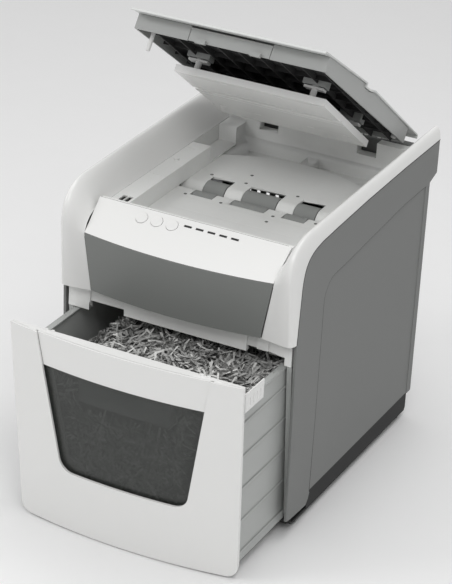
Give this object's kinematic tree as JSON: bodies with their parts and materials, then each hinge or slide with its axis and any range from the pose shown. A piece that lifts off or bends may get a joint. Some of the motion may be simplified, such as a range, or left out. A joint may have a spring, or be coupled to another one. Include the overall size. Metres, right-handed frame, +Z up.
{
  "type": "paper shredder",
  "caption": "Auto-feed office paper shredder with a hinged lid, a sprung pressure plate, geared cutter rolls and a pull-out bin with a smoked window.",
  "frame": {"origin": "centre of the bounding box on the floor, with the lid open and the bin pulled out", "axes": "+X to the user's right, +Y to the rear, +Z up"},
  "size_m": [0.324, 0.555, 0.6157],
  "materials": {
    "white_shell": "fine satin",
    "white_keys": "satin",
    "grey_shell": "fine grain",
    "fascia_grey": "satin",
    "pale_grey": "satin",
    "lid_skin": "satin",
    "lid_grey": "satin",
    "black_moulding": "fine grain",
    "rubber": "matt",
    "roller_rubber": "matt",
    "lenses": "gloss",
    "board": "solder mask",
    "steel": "machined",
    "bronze": "sintered",
    "gear_plastic": "moulded",
    "smoked_window": "smoked clear",
    "clear_pocket": "clear moulded",
    "paper_shreds": "cut paper"
  },
  "bodies": {
    "root": {"base_tray": "black_moulding", "rubber_feet": "rubber", "side_panel_left": "grey_shell", "side_panel_right": "grey_shell", "side_band_left": "white_shell", "side_band_right": "white_shell", "bay_wall_left": "pale_grey", "bay_wall_right": "pale_grey", "rear_cover": "grey_shell", "mains_inlet": "black_moulding", "front_fascia": "fascia_grey", "control_panel": "white_shell", "status_lenses": "lenses", "control_board": "board", "head_beam": "white_shell", "paper_tray": "white_shell", "rear_deck": "white_shell", "paper_rail": "white_shell", "interlock_switch": "black_moulding", "paper_sensors": "lenses", "cutter_side_plates": "steel", "tie_rods": "steel", "cutter_bushes": "bronze", "stripper_combs": "gear_plastic", "drive_motor": "black_moulding", "gear_axles": "steel", "power_board": "board", "hinge_brackets": "white_shell", "hinge_pins": "steel"},
    "lid": {"lid_skin": "lid_skin", "lid_frame": "lid_grey", "lid_liner": "black_moulding", "lid_hinge_arms": "white_shell", "post_housings": "lid_grey", "interlock_pin": "white_keys", "plate_springs": "steel"},
    "catch": {"lid_catch": "lid_grey"},
    "plate": {"pressure_plate": "white_shell", "plate_stems": "white_keys"},
    "bin": {"bin_front": "white_shell", "bin_inset_band": "white_shell", "bin_window": "smoked_window", "bin_grip_pocket": "clear_pocket", "bin_inner_panel": "white_shell", "bin_body": "pale_grey", "shred_heap": "paper_shreds"},
    "power_key": {"power_key": "white_keys"},
    "reverse_key": {"reverse_key": "white_keys"},
    "forward_key": {"forward_key": "white_keys"},
    "rail_plunger": {"rail_plunger": "white_keys"},
    "rocker": {"rocker_switch": "black_moulding"},
    "rear_cutter": {"rear_cutter": "steel", "rear_cutter_gears": "steel"},
    "front_cutter": {"front_cutter": "steel", "front_cutter_gear": "steel"},
    "rear_feed": {"rear_feed_roller": "roller_rubber"},
    "front_feed": {"front_feed_roller": "roller_rubber"},
    "idler": {"idler_gear": "gear_plastic"},
    "transfer": {"transfer_gear": "gear_plastic"},
    "rotor": {"motor_rotor": "steel"}
  },
  "joints": [
    {"name": "lid_hinge", "type": "hinge", "parent": "root", "child": "lid", "pos_m": [0, 0.26545, 0.405], "axis": [-1, 0, 0], "range_deg": [-36, 0]},
    {"name": "plate_slide", "type": "slide", "parent": "lid", "child": "plate", "axis": [0, 0.5878, 0.809], "range_m": [0, 0.01], "stiffness_N_per_m": 900, "springref_m": -0.012, "deforming": ["plate_springs"]},
    {"name": "catch_pivot", "type": "hinge", "parent": "lid", "child": "catch", "pos_m": [0, -0.0241, 0.60005], "axis": [-1, 0, 0], "range_deg": [0, 10], "stiffness_Nm_per_rad": 0.6, "springref_deg": -8.59},
    {"name": "bin_slide", "type": "slide", "parent": "root", "child": "bin", "axis": [0, -1, 0], "range_m": [-0.122, 0.18]},
    {"name": "power_key_press", "type": "slide", "parent": "root", "child": "power_key", "axis": [0, 0.5301, -0.8479], "range_m": [0, 0.0008], "stiffness_N_per_m": 600, "springref_m": -0.001},
    {"name": "reverse_key_press", "type": "slide", "parent": "root", "child": "reverse_key", "axis": [0, 0.5301, -0.8479], "range_m": [0, 0.0008], "stiffness_N_per_m": 600, "springref_m": -0.001},
    {"name": "forward_key_press", "type": "slide", "parent": "root", "child": "forward_key", "axis": [0, 0.5301, -0.8479], "range_m": [0, 0.0008], "stiffness_N_per_m": 600, "springref_m": -0.001},
    {"name": "plunger_press", "type": "slide", "parent": "root", "child": "rail_plunger", "axis": [0, 0, -1], "range_m": [0, 0.0015], "stiffness_N_per_m": 400, "springref_m": -0.002},
    {"name": "rocker_pivot", "type": "hinge", "parent": "root", "child": "rocker", "pos_m": [0, 0.25145, 0.076], "axis": [1, 0, 0], "range_deg": [0, 14]},
    {"name": "rear_cutter_spin", "type": "hinge", "parent": "root", "child": "rear_cutter", "pos_m": [0, 0.08795, 0.296], "axis": [1, 0, 0], "continuous": true},
    {"name": "front_cutter_spin", "type": "hinge", "parent": "root", "child": "front_cutter", "pos_m": [0, 0.05195, 0.296], "axis": [1, 0, 0], "continuous": true},
    {"name": "rear_feed_spin", "type": "hinge", "parent": "root", "child": "rear_feed", "pos_m": [0, 0.08995, 0.334], "axis": [1, 0, 0], "continuous": true},
    {"name": "front_feed_spin", "type": "hinge", "parent": "root", "child": "front_feed", "pos_m": [0, 0.05424, 0.3385], "axis": [1, 0, 0], "continuous": true},
    {"name": "idler_spin", "type": "hinge", "parent": "root", "child": "idler", "pos_m": [0, 0.09905, 0.31018], "axis": [1, 0, 0], "continuous": true},
    {"name": "transfer_spin", "type": "hinge", "parent": "root", "child": "transfer", "pos_m": [0, 0.12706, 0.30655], "axis": [1, 0, 0], "continuous": true},
    {"name": "rotor_spin", "type": "hinge", "parent": "root", "child": "rotor", "pos_m": [0, 0.16245, 0.3], "axis": [1, 0, 0], "continuous": true}
  ],
  "couplings": [
    {"joint": "front_cutter_spin", "follows": "rear_cutter_spin", "ratio": -1},
    {"joint": "rear_feed_spin", "follows": "rear_cutter_spin", "ratio": 0.58333},
    {"joint": "front_feed_spin", "follows": "rear_cutter_spin", "ratio": -0.58333},
    {"joint": "idler_spin", "follows": "rear_cutter_spin", "ratio": -1.4},
    {"joint": "transfer_spin", "follows": "rear_cutter_spin", "ratio": -2.8571},
    {"joint": "rotor_spin", "follows": "rear_cutter_spin", "ratio": 14.286}
  ]
}
